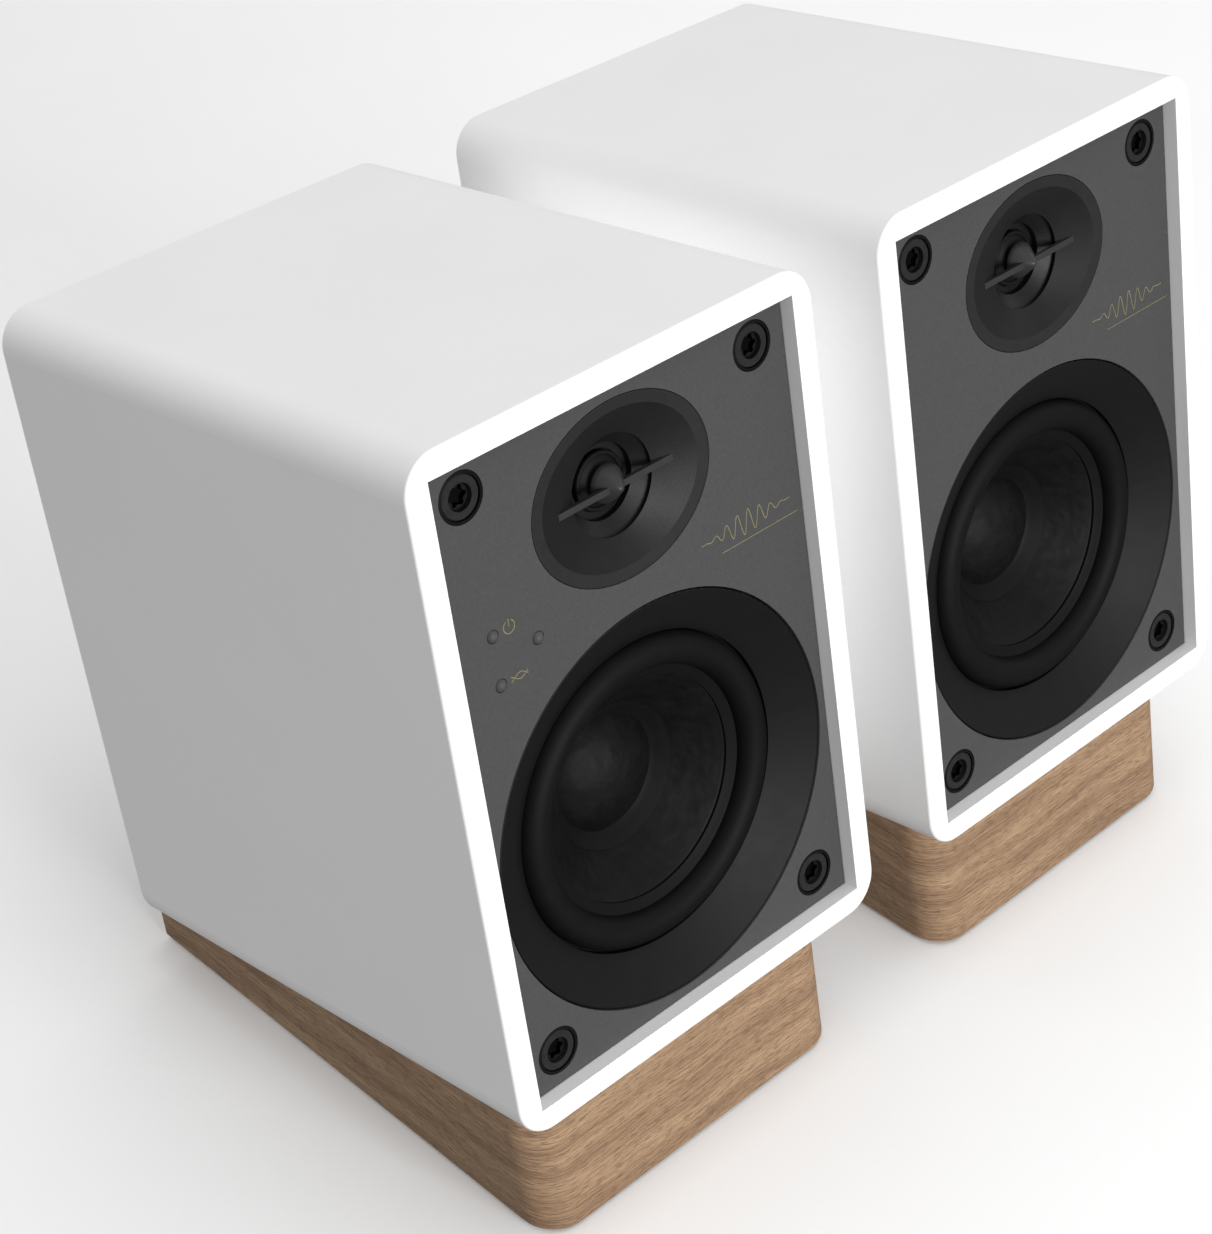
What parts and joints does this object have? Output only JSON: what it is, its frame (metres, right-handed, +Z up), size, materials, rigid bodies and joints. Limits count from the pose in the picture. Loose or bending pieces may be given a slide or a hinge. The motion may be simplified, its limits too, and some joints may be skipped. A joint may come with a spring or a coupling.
{
  "type": "desktop speakers",
  "caption": "Pair of small two-way desktop speakers: rounded white cabinets with recessed dark baffles, tipped back on wooden wedge stands.",
  "frame": {"origin": "middle of the footprint of the pair, on the surface it stands on", "axes": "+X from the left speaker to the right one, -Y towards the listener, +Z up"},
  "size_m": [0.267, 0.1808, 0.2171],
  "materials": {
    "white_lacquer": "satin white lacquer on fibreboard",
    "grey_lacquer": "matt gunmetal grey lacquer on fibreboard",
    "black_oxide": "black oxide, satin",
    "black_plastic": "fine satin moulded black",
    "dome_fabric": "coated silk dome",
    "plated_steel": "zinc plated",
    "black_rubber": "smooth moulded rubber",
    "cone_pulp": "coated fibre pulp, mottled",
    "copper_winding": "enamelled copper wire on paper",
    "spider_cloth": "resin-dipped cloth",
    "pressed_frame": "black coated pressed steel",
    "ferrite": "sintered ferrite",
    "rear_black": "matt black lacquer on fibreboard",
    "walnut": "oiled walnut, fine grain",
    "red_plastic": "moulded red",
    "grey_button": "moulded in the baffle's grey",
    "circuit_board": "glass-fibre board with parts",
    "jack_metal": "nickel plated"
  },
  "bodies": {
    "left_speaker": {"left_amplifier_board": "circuit_board", "left_baffle_screw_cups": "black_oxide", "left_baffle_screws": "black_oxide", "left_cabinet": "white_lacquer", "left_control_board": "circuit_board", "left_front_baffle": "grey_lacquer", "left_input_jacks": "jack_metal", "left_port_tube": "black_plastic", "left_rear_panel": "rear_black", "left_rear_panel_screws": "black_oxide", "left_remote_lens": "grey_button", "left_stand_feet": "black_rubber", "left_terminal_block": "black_plastic", "left_tweeter_motor": "plated_steel", "left_tweeter_phase_plug": "black_plastic", "left_tweeter_waveguide": "black_plastic", "left_wedge_stand": "walnut", "left_woofer_basket": "pressed_frame", "left_woofer_magnet": "ferrite", "left_woofer_pole_plates": "plated_steel", "left_woofer_screws": "black_oxide", "left_woofer_spider": "spider_cloth", "left_woofer_surround": "black_rubber", "left_woofer_trim_ring": "black_plastic"},
    "left_woofer_mover": {"left_woofer_cone": "cone_pulp", "left_woofer_dust_cap": "cone_pulp", "left_woofer_voice_coil": "copper_winding"},
    "left_tweeter_mover": {"left_tweeter_dome": "dome_fabric"},
    "left_red_lever": {"left_lever_red": "red_plastic"},
    "left_black_lever": {"left_lever_black": "black_plastic"},
    "right_speaker": {"right_baffle_screw_cups": "black_oxide", "right_baffle_screws": "black_oxide", "right_cabinet": "white_lacquer", "right_crossover_board": "circuit_board", "right_front_baffle": "grey_lacquer", "right_port_tube": "black_plastic", "right_rear_panel": "rear_black", "right_rear_panel_screws": "black_oxide", "right_stand_feet": "black_rubber", "right_terminal_block": "black_plastic", "right_tweeter_motor": "plated_steel", "right_tweeter_phase_plug": "black_plastic", "right_tweeter_waveguide": "black_plastic", "right_wedge_stand": "walnut", "right_woofer_basket": "pressed_frame", "right_woofer_magnet": "ferrite", "right_woofer_pole_plates": "plated_steel", "right_woofer_screws": "black_oxide", "right_woofer_spider": "spider_cloth", "right_woofer_surround": "black_rubber", "right_woofer_trim_ring": "black_plastic"},
    "right_woofer_mover": {"right_woofer_cone": "cone_pulp", "right_woofer_dust_cap": "cone_pulp", "right_woofer_voice_coil": "copper_winding"},
    "right_tweeter_mover": {"right_tweeter_dome": "dome_fabric"},
    "right_red_lever": {"right_lever_red": "red_plastic"},
    "right_black_lever": {"right_lever_black": "black_plastic"},
    "power_button": {"left_power_button": "grey_button"},
    "mode_button": {"left_mode_button": "grey_button"},
    "volume_knob": {"left_volume_knob": "black_plastic"}
  },
  "joints": [
    {"name": "right_speaker_spacing", "type": "slide", "parent": "left_speaker", "child": "right_speaker", "axis": [1, 0, 0], "range_m": [-0.02, 0.3]},
    {"name": "left_woofer_travel", "type": "slide", "parent": "left_speaker", "child": "left_woofer_mover", "axis": [0, -0.9845, 0.1754], "range_m": [-0.003, 0.003], "stiffness_N_per_m": 900, "deforming": ["left_woofer_surround", "left_woofer_spider"]},
    {"name": "left_tweeter_travel", "type": "slide", "parent": "left_speaker", "child": "left_tweeter_mover", "axis": [0, -0.9845, 0.1754], "range_m": [-0.0003, 0.0003], "stiffness_N_per_m": 400},
    {"name": "left_red_lever_press", "type": "hinge", "parent": "left_speaker", "child": "left_red_lever", "pos_m": [-0.0825, 0.06327, 0.04617], "axis": [1, 0, 0], "range_deg": [0, 20], "stiffness_Nm_per_rad": 0.2, "springref_deg": -11.46},
    {"name": "left_black_lever_press", "type": "hinge", "parent": "left_speaker", "child": "left_black_lever", "pos_m": [-0.0625, 0.06327, 0.04617], "axis": [1, 0, 0], "range_deg": [0, 20], "stiffness_Nm_per_rad": 0.2, "springref_deg": -11.46},
    {"name": "right_woofer_travel", "type": "slide", "parent": "right_speaker", "child": "right_woofer_mover", "axis": [0, -0.9845, 0.1754], "range_m": [-0.003, 0.003], "stiffness_N_per_m": 900, "deforming": ["right_woofer_surround", "right_woofer_spider"]},
    {"name": "right_tweeter_travel", "type": "slide", "parent": "right_speaker", "child": "right_tweeter_mover", "axis": [0, -0.9845, 0.1754], "range_m": [-0.0003, 0.0003], "stiffness_N_per_m": 400},
    {"name": "right_red_lever_press", "type": "hinge", "parent": "right_speaker", "child": "right_red_lever", "pos_m": [0.0625, 0.06327, 0.04617], "axis": [1, 0, 0], "range_deg": [0, 20], "stiffness_Nm_per_rad": 0.2, "springref_deg": -11.46},
    {"name": "right_black_lever_press", "type": "hinge", "parent": "right_speaker", "child": "right_black_lever", "pos_m": [0.0825, 0.06327, 0.04617], "axis": [1, 0, 0], "range_deg": [0, 20], "stiffness_Nm_per_rad": 0.2, "springref_deg": -11.46},
    {"name": "power_button_press", "type": "slide", "parent": "left_speaker", "child": "power_button", "axis": [0, 0.9845, -0.1754], "range_m": [0, 0.0005], "stiffness_N_per_m": 800, "springref_m": -0.0008},
    {"name": "mode_button_press", "type": "slide", "parent": "left_speaker", "child": "mode_button", "axis": [0, 0.9845, -0.1754], "range_m": [0, 0.0005], "stiffness_N_per_m": 800, "springref_m": -0.0008},
    {"name": "volume_turn", "type": "hinge", "parent": "left_speaker", "child": "volume_knob", "pos_m": [-0.1005, 0.07648, 0.09522], "axis": [0, -0.9845, 0.1754], "range_deg": [-150, 150]}
  ]
}
